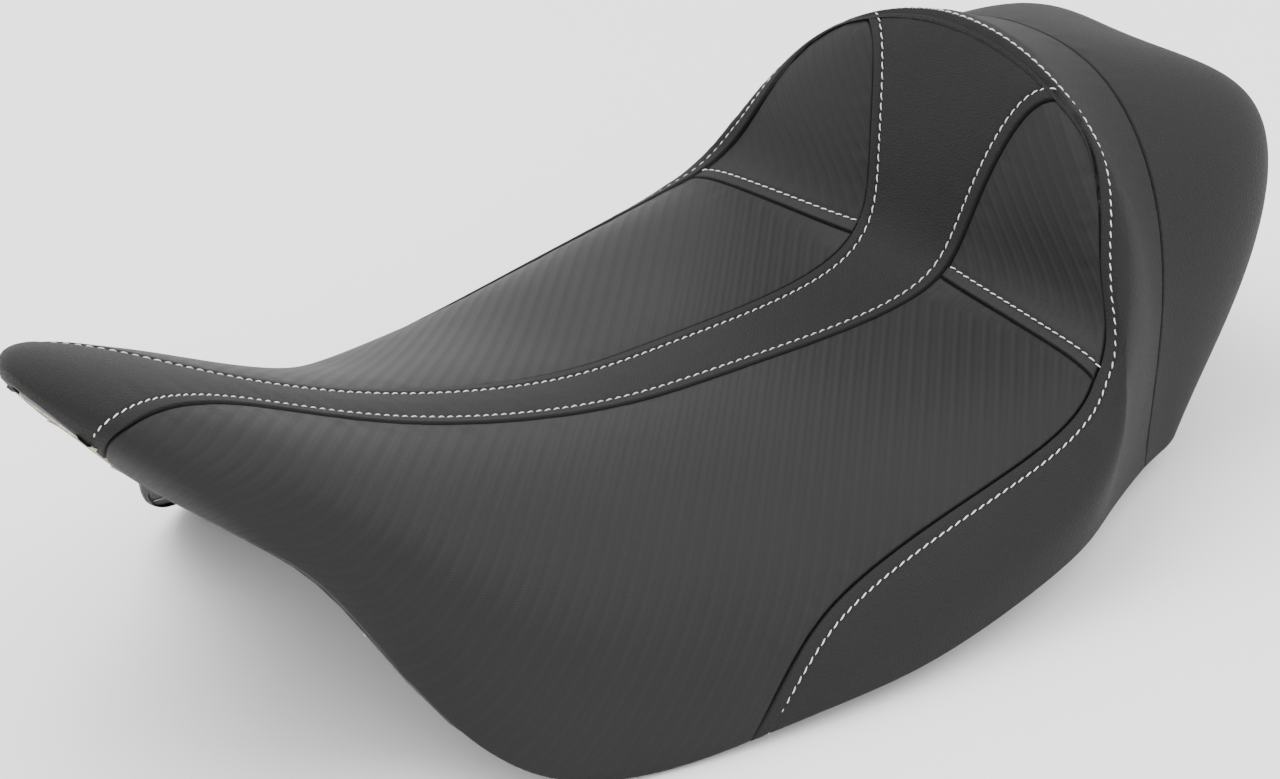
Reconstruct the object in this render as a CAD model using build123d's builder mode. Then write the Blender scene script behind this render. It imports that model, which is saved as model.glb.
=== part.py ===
from build123d import *
import os
import numpy as np

# Solo motorcycle seat with a tall wrap-round lumbar back.
# +X is the rider's right, -Y points to the nose, +Z is up, and every size is in millimetres.
# The seat stands on the lower edges of its two thigh skirts, at z = 0, and the origin is
# at the middle of its width and of its length over the rear tab.

# ---- overall sizes ----
seat_length = 658.0        # nose to the rearmost point of the lumbar back
seat_width = 366.0         # across the thigh skirts
seat_height = 199.0        # skirt edge to the top of the lumbar back

# ---- cover ----
cover_thickness = 2.0      # vinyl with its scrim foam
seam_gap = 0.6             # slot between two sewn panels
crown_end = 0.9994         # share of the centre panel's length, short of the band seam
cross_end = 0.9988         # share of the seat panel's length, short of the cross seam
bolster_foot = 0.003       # share of the bolster's height left free at the cross seam
bolster_tip = 0.97         # share of the bolster kept at its upper point
cover_to_foam = 0.7        # room between the cover and the foam
thread_width = 1.0
thread_height = 0.5
thread_rise = 0.05         # thread clear of the vinyl under it
thread_span = (0.004, 0.996)
rear_thread_width = 0.25
rear_thread_depth = 0.8    # the rear thread lies this far down in its seam
topstitch_offset = 6.5     # white thread line, measured from its seam

# ---- turned-under edge of the cover ----
staple_height = 0.6
staple_length = 10.0
staple_width = 1.2
staple_gap = 0.15          # room between a staple and the hem, for the hem's curve
staple_count = 20          # on each side
hem_floor = 0.8            # underside of the hem strip above the cover's lower edge
hem_thickness = 1.5
hem_width = 18.0
hem_side_gap = 0.6         # room between the hem or pan and the cover's inner face
hem_side_ribs = (0.95, 11.20)
hem_front_ribs = (0.42, 0.80)
hem_rear_ribs = (11.30, 11.86)

# ---- foam, from nose to tail in ribs ----
foam_front = 0.40
foam_joint = 7.60          # the backrest block is glued on here
foam_back = 11.80

# ---- base pan ----
pan_floor = 3.0            # underside of the pan's rim above the cover's lower edge
pan_thickness = 4.0
foam_to_pan = 0.3
pan_front = 0.35           # first and last rib of the pan
pan_back = 11.90
rib_depth = 9.0
rib_thickness = 3.0
stiffener_ribs = (4.2, 4.9, 6.1, 8.2, 9.6)
stiffener_span = 0.72      # share of the pan's width that a stiffening rib crosses
trim_height = 320.0        # above the tallest rib

# ---- rubber bumpers and their screws ----
bumper_radius = 14.0
bumper_height = 12.0
bumper_counterbore_radius = 7.5
bumper_counterbore_depth = 6.0
screw_radius = 2.5
screw_head_radius = 5.5
screw_head_height = 3.2
screw_grip = 7.0           # thread length inside the boss
screw_clearance = 0.1
screw_socket_radius = 1.7
bumper_chamfer = 1.5
boss_wall = 2.0            # boss radius beyond the bumper
boss_reach = 40.0          # long enough to meet the pan's wall everywhere
bumper_x = 78.0
bumper_rows = (-111.0, 64.0, 194.0)
bumper_floor = 16.0        # underside of the bumpers above z = 0

# ---- steel parts ----
tongue_rib = 4.6           # the front tongue is riveted on at this rib
tongue_width = 44.0
tongue_thickness = 3.0
tongue_flat_length = 44.0
tongue_hook_length = 26.0
tongue_step = 9.0          # the hook lies this far below the riveted flat
tongue_bend_radius = 5.0
tongue_slot_width = 9.0
tongue_slot_length = 16.0
tongue_rivet_x = 13.0
tongue_rivet_y = 13.0
pad_height = 5.0           # moulded pad between the pan and the tongue
pad_margin = 3.0           # pad beyond the steel part on it
pad_reach = 60.0           # long enough to meet the pan's wall everywhere
tab_width = 40.0
tab_thickness = 3.0
tab_floor = 3.5            # underside of the tab above z = 0
tab_root = 56.0            # front end of the tab, ahead of the lower tail
tab_seat_length = 29.0     # part of the tab that lies on its pad
tab_reach = 57.0           # centre of the tab's bore, behind the lower tail
tab_corner = 6.0
tab_rivet_x = 12.0
tab_rivet_y = 9.0
rivet_radius = 2.4
rivet_head_radius = 4.6
rivet_head_height = 1.8
rivet_grip = 5.0           # shank length beyond the plate
rivet_clearance = 0.05
bushing_bore_radius = 4.25
bushing_wall = 2.5
bushing_flange = 2.5
bushing_flange_height = 1.2
bushing_clearance = 0.05

# ---- ribs of the outer skin, nose to tail ----
# Each rib lies in a plane that holds the X direction. A row gives the top line's y and z,
# the lower edge's y and z, the half width, the squareness of the shoulder (small is square)
# and the dish (how far the sides stand above the middle), drawn at the sizes below.
drawn_length, drawn_width, drawn_height = 658.0, 366.0, 199.0
ribs = [
    (-326, 170, -322, 166, 27, 1.00, 0.00),
    (-339, 182, -310, 144, 32, 0.90, 0.00),
    (-324, 189, -272, 112, 66, 0.90, 0.00),
    (-262, 161, -238, 70, 87, 0.90, 0.06),
    (-168, 116, -190, 7.6, 146, 0.90, 0.00),
    (-64, 86, -82, 4.0, 177, 0.85, 0.00),
    (20, 80, -2, 8.2, 183, 0.70, 0.08),
    (122, 85, 78, 18, 176, 0.40, 0.20),
    (153, 132, 126, 17, 157, 0.45, 0.12),
    (176, 199, 164, 14, 138, 0.55, 0.00),
    (217, 190, 198, 12, 124, 0.60, 0.00),
    (316, 144, 226, 11, 108, 0.50, 0.10),
    (262, 16, 256, 11, 60, 1.00, 0.00),
]
last_rib = len(ribs) - 1
tail_y = ribs[last_rib][0] * seat_length / drawn_length
tab_front = tail_y - tab_root
tab_bore_y = tail_y + tab_reach

# Rise of the pan's tunnel above its rim at each rib, drawn at the same sizes.
tunnel_rise = [0, 3, 9, 22, 36, 40, 38, 40, 46, 46, 30, 6, 0]

# ---- seams, as (rib, girth) pairs ----
# Girth runs from 0 on the top line to 1 at the lower edge.
cross_inner = (7.25, 0.13)      # centre seam meets cross seam
cross_outer = (7.10, 0.61)      # cross seam meets band seam
crown_corner = (9.00, 0.26)     # centre seam meets band seam
nose_corner = (0.75, 1.00)      # centre seam meets the lower edge
nose_blend = 1.6                # the centre panel's rows are straight this many ribs on
band_foot = (4.80, 1.00)        # band seam meets the lower edge
rear_foot = (9.50, 1.00)        # rear seam meets the lower edge
centre_front = [nose_corner, (1.25, 0.63), (1.90, 0.41), (2.80, 0.22), (3.50, 0.115),
                (4.60, 0.095), (5.50, 0.10), (6.50, 0.11), cross_inner]
centre_back = [cross_inner, (7.60, 0.14), (8.05, 0.16), (8.60, 0.20), crown_corner]
cross = [cross_inner, (7.05, 0.42), cross_outer]
band_side = [band_foot, (5.30, 0.79), (6.50, 0.69), cross_outer]
band_back = [cross_outer, (7.95, 0.50), (8.80, 0.37), crown_corner]
crown_bow = 0.06                # the band seam's middle, in ribs behind its corners
band_crown = [crown_corner, (9.045, 0.13), (crown_corner[0] + crown_bow, 0.0)]
rear_side = [rear_foot, (9.65, 0.84), (9.80, 0.68)]
rear_back = [(9.80, 0.68), (9.92, 0.50), (10.02, 0.30)]
rear_crown = [(10.02, 0.30), (10.07, 0.15), (10.08, 0.0)]


# ---- the skin ----
def spline_through(values, at):
    """Natural cubic spline through values[0], values[1], ... read at any places."""
    values = np.asarray(values, float)
    count = len(values)
    at = np.clip(np.atleast_1d(np.asarray(at, float)), 0, count - 1)
    system = np.eye(count)
    bend = np.zeros_like(values)
    inner = np.arange(1, count - 1)
    system[inner, inner - 1] = 1
    system[inner, inner] = 4
    system[inner, inner + 1] = 1
    bend[1:-1] = 6 * (values[2:] - 2 * values[1:-1] + values[:-2])
    second = np.linalg.solve(system, bend)
    cell = np.minimum(at.astype(int), count - 2)
    t = (at - cell)[:, None]
    s = 1 - t
    curve = ((s ** 3 - s) * second[cell] + (t ** 3 - t) * second[cell + 1]) / 6
    return s * values[cell] + t * values[cell + 1] + curve


def rib_shape(u, inset=0.0):
    """Lower edge, unit rise, height, half width, squareness and dish of the ribs at u.

    With an inset the rib is smaller: its sides come in by the inset, and its top comes down
    far enough that the skin moves in by the same amount measured square to the top line.
    """
    scale_y = seat_length / drawn_length
    scale_x = seat_width / drawn_width
    scale_z = seat_height / drawn_height
    table = np.array(ribs, float) * (scale_y, scale_z, scale_y, scale_z, scale_x, 1, 1)
    row = spline_through(table, u)
    ahead = spline_through(table[:, :2], np.asarray(u, float) + 0.02)
    behind = spline_through(table[:, :2], np.asarray(u, float) - 0.02)
    along = ahead - behind
    edge = row[:, 2:4]
    rise = row[:, :2] - edge
    height = np.hypot(rise[:, 0], rise[:, 1])
    rise = rise / height[:, None]
    square = np.abs(along[:, 0] * rise[:, 1] - along[:, 1] * rise[:, 0])
    square = square / np.hypot(along[:, 0], along[:, 1])
    height = height - inset / np.maximum(square, 0.4)
    return edge, rise, height, row[:, 4] - inset, row[:, 5], row[:, 6]


def skin(u, v, inset=0.0):
    """Points of the skin at ribs u and girths v, with v negative on the left side."""
    u, v = np.broadcast_arrays(np.asarray(u, float), np.asarray(v, float))
    shape = u.shape
    u, v = u.ravel(), v.ravel()
    edge, rise, height, half, squareness, dish = rib_shape(u, inset)
    turn = np.pi / 2 * np.sin(np.linspace(0, np.pi / 2, 60)) ** 0.9
    across = half[:, None] * np.sin(turn)
    level = np.clip(np.cos(turn), 0, 1) ** squareness[:, None]
    level = (level + dish[:, None] * np.sin(2 * turn) ** 2) * height[:, None]
    steps = np.hypot(np.diff(across, axis=1), np.diff(level, axis=1))
    girth = np.concatenate([np.zeros((len(u), 1)), np.cumsum(steps, axis=1)], axis=1)
    girth = girth / girth[:, -1:]
    wanted = np.clip(np.abs(v), 0, 1)
    cell = np.clip((girth < wanted[:, None]).sum(axis=1) - 1, 0, len(turn) - 2)
    row = np.arange(len(u))
    t = (wanted - girth[row, cell]) / (girth[row, cell + 1] - girth[row, cell])
    x = across[row, cell] * (1 - t) + across[row, cell + 1] * t
    h = level[row, cell] * (1 - t) + level[row, cell + 1] * t
    y = edge[:, 0] + h * rise[:, 0]
    z = edge[:, 1] + h * rise[:, 1]
    return np.stack([np.sign(v) * x, y, z], axis=1).reshape(shape + (3,))


# ---- patches of the skin ----
def seam_line(*pieces, shares=None):
    """A curve in (rib, girth) made of splined pieces, read by its share of the length.

    With shares, each piece takes the stated part of the curve, whatever its length is.
    """
    parts = [spline_through(piece, np.linspace(0, len(piece) - 1, 60)) for piece in pieces]
    runs = []
    for part in parts:
        steps = np.linalg.norm(np.diff(skin(part[:, 0], part[:, 1]), axis=0), axis=1)
        runs.append(np.concatenate([[0], np.cumsum(steps)]))
    if shares is None:
        reach = np.cumsum([run[-1] for run in runs])
        shares = [0] + list(reach / reach[-1])
    place = [start + run / run[-1] * (stop - start)
             for run, start, stop in zip(runs, shares[:-1], shares[1:])]
    line = np.concatenate([parts[0]] + [part[1:] for part in parts[1:]])
    place = np.concatenate([place[0]] + [run[1:] for run in place[1:]])
    return lambda share: np.stack([np.interp(share, place, line[:, 0]),
                                   np.interp(share, place, line[:, 1])], axis=-1)


def held_at(point):
    """A side of a patch that has shrunk to one (rib, girth) point."""
    return lambda share: np.broadcast_to(np.array(point, float), np.shape(share) + (2,))


def flipped(points):
    """The same seam on the other side of the seat."""
    return [(u, -v) for u, v in points]


def backwards(points):
    return list(reversed(points))


def patch(low, high, start, end):
    """Coons patch in (rib, girth): low and high run along s, start and end run along t."""
    def at(s, t):
        s, t = s[..., None], t[..., None]
        sides = (1 - t) * low(s[..., 0]) + t * high(s[..., 0])
        ends = (1 - s) * start(t[..., 0]) + s * end(t[..., 0])
        zero, one = np.array(0.0), np.array(1.0)
        corners = ((1 - s) * (1 - t) * low(zero) + s * (1 - t) * low(one)
                   + (1 - s) * t * high(zero) + s * t * high(one))
        return sides + ends - corners
    return at


def row_run(at, s):
    """Length along a row of a patch at 120 even places, and the t of those places."""
    t = np.linspace(0, 1, 120)
    uv = at(np.full_like(t, s), t)
    steps = np.linalg.norm(np.diff(skin(uv[:, 0], uv[:, 1]), axis=0), axis=1)
    return np.concatenate([[0], np.cumsum(steps)]), t


def panel_grid(at, s_range, margins, count):
    """Even grid of skin points over a patch, pulled in from the sides at t = 0 and t = 1."""
    points = []
    for s in np.linspace(s_range[0], s_range[1], count[0]):
        run, t = row_run(at, s)
        wanted = np.linspace(margins[0], run[-1] - margins[1], count[1])
        uv = at(np.full(count[1], s), np.interp(wanted, run, t))
        points.append(skin(uv[:, 0], uv[:, 1]))
    return np.array(points)


def seam_strip(at, s_range, near, far, from_start, count):
    """Grid of a narrow strip between two distances from the side of a patch at t = 0 or 1."""
    points = []
    for s in np.linspace(s_range[0], s_range[1], count):
        run, t = row_run(at, s)
        wanted = np.linspace(near, far, 3)
        if not from_start:
            wanted = run[-1] - wanted
        uv = at(np.full(3, s), np.interp(wanted, run, t))
        points.append(skin(uv[:, 0], uv[:, 1]))
    return np.array(points)


def outward_normals(points):
    """Unit normals of a grid of skin points, pointing out of the seat."""
    normals = np.cross(np.gradient(points, axis=0), np.gradient(points, axis=1))
    normals /= np.linalg.norm(normals, axis=2, keepdims=True)
    middle = np.array([0, 0.14 * seat_length, 0.2 * seat_height])
    row, column = points.shape[0] // 2, points.shape[1] // 2
    facing = normals[row, column] @ (points[row, column] - middle)
    return normals if facing > 0 else -normals


def solid_between(outer, inner):
    """Closed solid between two grids of points, ruled from row to row."""
    rows = []
    for high, low in zip(outer, inner):
        high_edge = Edge.make_spline([tuple(point) for point in high])
        low_edge = Edge.make_spline([tuple(point) for point in low])
        walls = [Edge.make_line(high_edge @ end, low_edge @ end) for end in (0, 1)]
        rows.append([high_edge, low_edge] + walls)
    faces = [Face.make_surface_from_curves(rows[end][0], rows[end][1]) for end in (0, -1)]
    for row, following in zip(rows[:-1], rows[1:]):
        for edge, partner in zip(row, following):
            faces.append(Face.make_surface_from_curves(edge, partner))
    return Solid(Shell(faces))


def sheet_solid(points, out, inward):
    """Closed solid between a grid moved out along its normals and the same moved inward."""
    normals = outward_normals(points)
    return solid_between(points + out * normals, points - inward * normals)


def mirrored(points, side):
    return points if side > 0 else flipped(points)


def side_name(side):
    return "right" if side > 0 else "left"


def save(piece, name):
    piece.part.label = name
    export_step(piece.part, "parts/" + name + ".step")


os.makedirs("parts", exist_ok=True)
half_gap = seam_gap / 2
gaps = (half_gap, half_gap)

# ---- cover panels ----
# The centre panel runs from the nose, along the bowl and up the front of the lumbar back.
centre_line = seam_line(centre_front, centre_back)


def centre_patch(s, t):
    """Rows run straight across, and bend round the nose's front edge at the start."""
    edge = centre_line(s)
    turn = 2 * t - 1
    nose = np.clip(1 - (edge[..., 0] - nose_corner[0]) / nose_blend, 0, 1) ** 2
    u = edge[..., 0] - nose * nose_corner[0] * (1 - np.abs(turn) ** 5)
    u = u + crown_bow * s ** 8 * (1 - turn ** 2)
    return np.stack([u, edge[..., 1] * turn], axis=-1)


with BuildPart() as centre_panel:
    add(sheet_solid(panel_grid(centre_patch, (0, crown_end), gaps, (40, 13)), 0, cover_thickness))
save(centre_panel, "centre_panel")

# Each seat panel covers a thigh: centre seam, cross seam, band seam and lower edge.
# Each bolster panel fills the three-cornered field above it on the lumbar back.
seat_patches = {}
bolster_patches = {}
for side in (1, -1):
    seat_patches[side] = patch(
        seam_line(mirrored(centre_front, side)),
        seam_line(mirrored(band_side, side)),
        seam_line(mirrored([nose_corner, (2.0, 1.0), (3.4, 1.0), band_foot], side)),
        seam_line(mirrored(cross, side)))
    bolster_patches[side] = patch(
        seam_line(mirrored(centre_back, side)),
        seam_line(mirrored(band_back, side)),
        seam_line(mirrored(cross, side)),
        held_at(mirrored([crown_corner], side)[0]))
    with BuildPart() as seat_panel:
        add(sheet_solid(panel_grid(seat_patches[side], (0, cross_end), gaps, (24, 17)),
                        0, cover_thickness))
    save(seat_panel, "seat_panel_" + side_name(side))
    with BuildPart() as bolster_panel:
        add(sheet_solid(panel_grid(bolster_patches[side], (bolster_foot, bolster_tip), gaps,
                                   (14, 12)), 0, cover_thickness))
    save(bolster_panel, "bolster_panel_" + side_name(side))

# The band is one piece: up the right flank, over the crown and down the left flank.
front_seam = [band_side, band_back, band_crown]
front_seam = front_seam + [flipped(backwards(piece)) for piece in backwards(front_seam)]
rear_seam = [rear_side, rear_back, rear_crown]
rear_seam = rear_seam + [flipped(backwards(piece)) for piece in backwards(rear_seam)]
band_shares = [0, 0.22, 0.40, 0.50, 0.60, 0.78, 1]
band_lower_edge = [band_foot, (6.4, 1.0), (8.0, 1.0), rear_foot]
band_patch = patch(seam_line(*front_seam, shares=band_shares),
                   seam_line(*rear_seam, shares=band_shares),
                   seam_line(band_lower_edge), seam_line(flipped(band_lower_edge)))
with BuildPart() as perimeter_band:
    add(sheet_solid(panel_grid(band_patch, (0, 1), gaps, (48, 11)), 0, cover_thickness))
save(perimeter_band, "perimeter_band")

# The rear panel closes the back of the seat down to the tail.
tail_lower_edge = [rear_foot, (10.7, 1.0), (last_rib, 1.0)]
tail_patch = patch(seam_line(*rear_seam), seam_line([(last_rib, 1.0), (last_rib, -1.0)]),
                   seam_line(tail_lower_edge), seam_line(flipped(tail_lower_edge)))
with BuildPart() as rear_panel:
    add(sheet_solid(panel_grid(tail_patch, (0, 1), (half_gap, 0), (28, 13)), 0, cover_thickness))
save(rear_panel, "rear_panel")

# ---- threads ----
# Each thread line is a narrow strip just clear of the vinyl, beside its seam.
def turned(at):
    """The same patch with s and t exchanged."""
    return lambda s, t: at(t, s)


def thread_solid(at, from_start, rows):
    near = topstitch_offset - thread_width / 2
    points = seam_strip(at, thread_span, near, near + thread_width, from_start, rows)
    return sheet_solid(points, thread_rise + thread_height, -thread_rise)


for side in (1, -1):
    with BuildPart() as topstitch_centre:
        add(thread_solid(centre_patch, side < 0, 48))
    save(topstitch_centre, "topstitch_centre_" + side_name(side))
    with BuildPart() as topstitch_cross:
        add(thread_solid(turned(bolster_patches[side]), True, 16))
    save(topstitch_cross, "topstitch_cross_" + side_name(side))

with BuildPart() as topstitch_band:
    add(thread_solid(band_patch, True, 60))
save(topstitch_band, "topstitch_band")

# The rear seam is sewn inside, so only its black thread shows, down in the slot.
with BuildPart() as rear_seam_thread:
    add(sheet_solid(seam_strip(tail_patch, thread_span, 0, rear_thread_width, True, 40),
                    -rear_thread_depth, rear_thread_depth + thread_height))
save(rear_seam_thread, "rear_seam_thread")


# ---- solids in the planes of the ribs ----
def rib_plane(u):
    """The plane of a rib: x across the seat, y up from the lower edge."""
    edge, rise, height, half, squareness, dish = rib_shape([u])
    upward = Vector(0, rise[0, 0], rise[0, 1])
    return Plane(origin=(0, edge[0, 0], edge[0, 1]), x_dir=(1, 0, 0),
                 z_dir=Vector(1, 0, 0).cross(upward))


def tunnel(u, x, floor):
    """Height of the tunnel's arch in the plane of a rib, above the rim's floor."""
    half = rib_shape([u])[3][0] - cover_thickness - hem_side_gap
    rise = spline_through(np.array(tunnel_rise, float)[:, None], [u])[0, 0]
    rise = max(0.0, rise) * seat_height / drawn_height
    return floor + rise * (1 - np.clip(np.abs(x) / half, 0, 1) ** 4)


def arch_points(u, floor, half, count=15):
    return [(x, tunnel(u, x, floor)) for x in np.linspace(-half, half, count)]


def band_section(u, low_floor, high_floor, half):
    """Closed outline between two arches of the tunnel, as wide as twice half."""
    with BuildSketch(rib_plane(u)) as section:
        with BuildLine():
            low = Spline(*arch_points(u, low_floor, half))
            high = Spline(*arch_points(u, high_floor, half))
            Line(low @ 0, high @ 0)
            Line(low @ 1, high @ 1)
        make_face()
    return section.sketch


def foam_section(u):
    """Closed outline of the foam: the skin's rib, moved in, above the pan's arch."""
    inset = cover_thickness + cover_to_foam
    floor = pan_floor + pan_thickness + foam_to_pan
    edge, rise, height, half, squareness, dish = [values[0] for values in rib_shape([u], inset)]
    turn = np.linspace(0, np.pi / 2, 13)
    across = half * np.sin(turn)
    level = np.clip(np.cos(turn), 0, 1) ** squareness + dish * np.sin(2 * turn) ** 2
    level = np.maximum(level * height, floor)
    inside = level > floor + 0.5
    shoulder = list(zip(across[inside], level[inside])) + [(half, tunnel(u, half, floor))]
    crown = [(-x, y) for x, y in reversed(shoulder[1:])] + shoulder
    with BuildSketch(rib_plane(u)) as section:
        with BuildLine():
            top = Spline(*crown)
            Spline(*arch_points(u, floor, half))
        make_face()
    return section.sketch


with BuildPart() as seat_foam:
    loft(sections=[foam_section(u) for u in np.linspace(foam_front, foam_joint - 0.01, 28)],
         ruled=True)
save(seat_foam, "seat_foam")

with BuildPart() as backrest_foam:
    loft(sections=[foam_section(u) for u in np.linspace(foam_joint, foam_back, 20)], ruled=True)
save(backrest_foam, "backrest_foam")

# ---- base pan ----
def pan_half(u):
    """Half width of the pan in the plane of a rib."""
    return rib_shape([u])[3][0] - cover_thickness - hem_side_gap


def pan_point(u, x, height):
    """Place in space of a point given across a rib and above the tunnel's arch."""
    edge, rise = [values[0] for values in rib_shape([u])[:2]]
    level = tunnel(u, x, pan_floor) + height
    return Vector(x, edge[0] + level * rise[0], edge[1] + level * rise[1])


# What lies above the middle of the pan's wall, to trim bosses and pads that join it.
with BuildPart() as above_pan:
    for u in np.linspace(pan_front, pan_back, 24):
        with BuildSketch(rib_plane(u)):
            half = pan_half(u) + cover_thickness
            with BuildLine():
                arch = Spline(*arch_points(u, pan_floor + pan_thickness / 2, half))
                Polyline(arch @ 0, (-half, trim_height), (half, trim_height), arch @ 1)
            make_face()
    loft(ruled=True)


def under_pan(u, x, gap, length):
    """Plane on the pan's underside at a rib: y along the seat, z pointing down and out."""
    here = pan_point(u, x, -gap)
    along = pan_point(u + 0.05, x, -gap) - pan_point(u - 0.05, x, -gap)
    across = pan_point(u, x + 0.5, -gap) - pan_point(u, x - 0.5, -gap)
    down = along.cross(across).normalized()
    if down.Z > 0:
        down = -down
    return Plane(origin=here + down * length, x_dir=along.cross(down), z_dir=down)


tongue_plane = under_pan(tongue_rib, 0, 0, pad_height)
tab_plane = Plane(origin=(0, tab_front + tab_seat_length / 2, tab_floor + tab_thickness),
                  x_dir=(1, 0, 0), z_dir=(0, 0, -1))
tongue_rivets_at = (2 * tongue_rivet_x, 2 * tongue_rivet_y, 2, 2)
tab_rivets_at = (2 * tab_rivet_x, 2 * tab_rivet_y, 2, 2)
bumper_places = [(side * bumper_x, y) for side in (1, -1) for y in bumper_rows]
bumper_top = bumper_floor + bumper_height

with BuildPart() as bosses:
    with BuildSketch(Plane.XY.offset(bumper_top)):
        with Locations(*bumper_places):
            Circle(bumper_radius + boss_wall)
    extrude(amount=boss_reach)
    with BuildSketch(tongue_plane):
        Rectangle(tongue_width + 2 * pad_margin, tongue_flat_length + 2 * pad_margin)
    extrude(amount=-boss_reach)
    with BuildSketch(tab_plane):
        Rectangle(tab_width + 2 * pad_margin, tab_seat_length)
    extrude(amount=-pad_reach)
    add(above_pan.part, mode=Mode.SUBTRACT)

with BuildPart() as base_pan:
    loft(sections=[band_section(u, pan_floor, pan_floor + pan_thickness, pan_half(u))
                   for u in np.linspace(pan_front, pan_back, 26)])
    add(bosses.part)
    for u in stiffener_ribs:
        extrude(band_section(u, pan_floor - rib_depth, pan_floor + pan_thickness / 2,
                             stiffener_span * pan_half(u)), amount=rib_thickness / 2, both=True)
    with Locations(*[(x, y, bumper_top) for x, y in bumper_places]):
        with Locations(Rot(180, 0, 0)):
            Hole(screw_radius, depth=screw_grip)
    with Locations(tongue_plane):
        with GridLocations(*tongue_rivets_at):
            Hole(rivet_radius + rivet_clearance, depth=rivet_grip)
    with Locations(tab_plane):
        with GridLocations(*tab_rivets_at):
            Hole(rivet_radius + rivet_clearance, depth=rivet_grip)
save(base_pan, "base_pan")

# ---- rubber bumpers ----
with BuildPart() as bumpers:
    with BuildSketch(Plane.XY.offset(bumper_floor)):
        with Locations(*bumper_places):
            Circle(bumper_radius)
    extrude(amount=bumper_height)
    chamfer(bumpers.faces().sort_by(Axis.Z)[0:len(bumper_places)].edges(), bumper_chamfer)
    with Locations(*[(x, y, bumper_floor) for x, y in bumper_places]):
        with Locations(Rot(180, 0, 0)):
            CounterBoreHole(screw_radius + screw_clearance, bumper_counterbore_radius,
                            bumper_counterbore_depth, depth=bumper_height)
save(bumpers, "bumpers")

# Pan-head screws hold the bumpers: head up inside the counterbore, thread in the boss.
screw_seat = bumper_floor + bumper_counterbore_depth
with BuildPart() as bumper_screws:
    with BuildSketch(Plane.XY.offset(screw_seat - screw_head_height)):
        with Locations(*bumper_places):
            Circle(screw_head_radius)
    extrude(amount=screw_head_height)
    heads = bumper_screws.faces().sort_by(Axis.Z)[0:len(bumper_places)]
    fillet(heads.edges(), screw_head_height / 3)
    with BuildSketch(Plane.XY.offset(screw_seat)):
        with Locations(*bumper_places):
            Circle(screw_radius)
    extrude(amount=bumper_top - screw_seat + screw_grip)
    with Locations(*[(x, y, screw_seat - screw_head_height) for x, y in bumper_places]):
        with Locations(Rot(180, 0, 0)):
            Hole(screw_socket_radius, depth=screw_head_height / 2)
save(bumper_screws, "bumper_screws")

# ---- steel tongue under the nose ----
# The flat is riveted to the pan, and the hook slides under a bracket on the motorcycle.
side_plane = Plane(origin=tongue_plane.origin, x_dir=-tongue_plane.y_dir, z_dir=(1, 0, 0))
down_sign = 1 if side_plane.y_dir.dot(tongue_plane.z_dir) > 0 else -1
with BuildPart() as front_tongue:
    with BuildSketch(side_plane):
        with BuildLine():
            middle = down_sign * tongue_thickness / 2
            drop = down_sign * tongue_step
            bend = tongue_flat_length / 2
            FilletPolyline((-bend, middle), (bend, middle),
                           (bend + tongue_step, middle + drop),
                           (bend + tongue_step + tongue_hook_length, middle + drop),
                           radius=tongue_bend_radius)
        trace(line_width=tongue_thickness)
    extrude(amount=tongue_width / 2, both=True)
    tips = front_tongue.edges().filter_by(lambda edge: abs(edge.length - tongue_thickness) < 0.01)
    tip_side = tips.sort_by(Axis(tongue_plane.origin, side_plane.x_dir))[-2:]
    fillet(tip_side, tongue_width / 3)
    with BuildSketch(tongue_plane):
        with Locations((0, -bend - tongue_step - tongue_hook_length / 2)):
            SlotOverall(tongue_slot_length, tongue_slot_width)
    extrude(amount=2 * tongue_step, mode=Mode.SUBTRACT)
    with BuildSketch(tongue_plane):
        with GridLocations(*tongue_rivets_at):
            Circle(rivet_radius + rivet_clearance)
    extrude(amount=tongue_thickness, mode=Mode.SUBTRACT)
save(front_tongue, "front_tongue")

# ---- steel tab at the tail ----
with BuildPart() as rear_tab:
    with BuildSketch(Plane.XY.offset(tab_floor)):
        tab_end = tab_bore_y + tab_width / 2
        with Locations((0, (tab_front + tab_bore_y) / 2)):
            Rectangle(tab_width, tab_bore_y - tab_front)
        with Locations((0, tab_bore_y)):
            Circle(tab_width / 2)
            Circle(bushing_bore_radius + bushing_wall + bushing_clearance, mode=Mode.SUBTRACT)
        with Locations((0, tab_front + tab_seat_length / 2)):
            with GridLocations(*tab_rivets_at):
                Circle(rivet_radius + rivet_clearance, mode=Mode.SUBTRACT)
    extrude(amount=tab_thickness)
    ends = rear_tab.edges().filter_by(Axis.Z).sort_by(Axis.Y)[0:2]
    fillet(ends, tab_corner)
save(rear_tab, "rear_tab")

with BuildPart() as tab_bushing:
    with BuildSketch(Plane.XY.offset(tab_floor)):
        with Locations((0, tab_bore_y)):
            Circle(bushing_bore_radius + bushing_wall)
    extrude(amount=tab_thickness)
    with BuildSketch(Plane.XY.offset(tab_floor)):
        with Locations((0, tab_bore_y)):
            Circle(bushing_bore_radius + bushing_wall + bushing_flange)
    extrude(amount=-bushing_flange_height)
    with Locations((0, tab_bore_y, tab_floor + tab_thickness)):
        Hole(bushing_bore_radius, depth=tab_thickness + bushing_flange_height)
save(tab_bushing, "tab_bushing")


# ---- rivets ----
def rivets(name, plane, plate, places):
    """Domed rivets through a plate that lies on the plane."""
    with BuildPart() as group:
        with BuildSketch(plane.offset(plate)):
            with GridLocations(*places):
                Circle(rivet_head_radius)
        extrude(amount=rivet_head_height)
        heads = group.faces().sort_by(Axis(plane.origin, plane.z_dir))[-places[2] * places[3]:]
        fillet(heads.edges(), rivet_head_height * 0.8)
        with BuildSketch(plane.offset(plate)):
            with GridLocations(*places):
                Circle(rivet_radius)
        extrude(amount=-(plate + rivet_grip))
    save(group, name)


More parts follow.
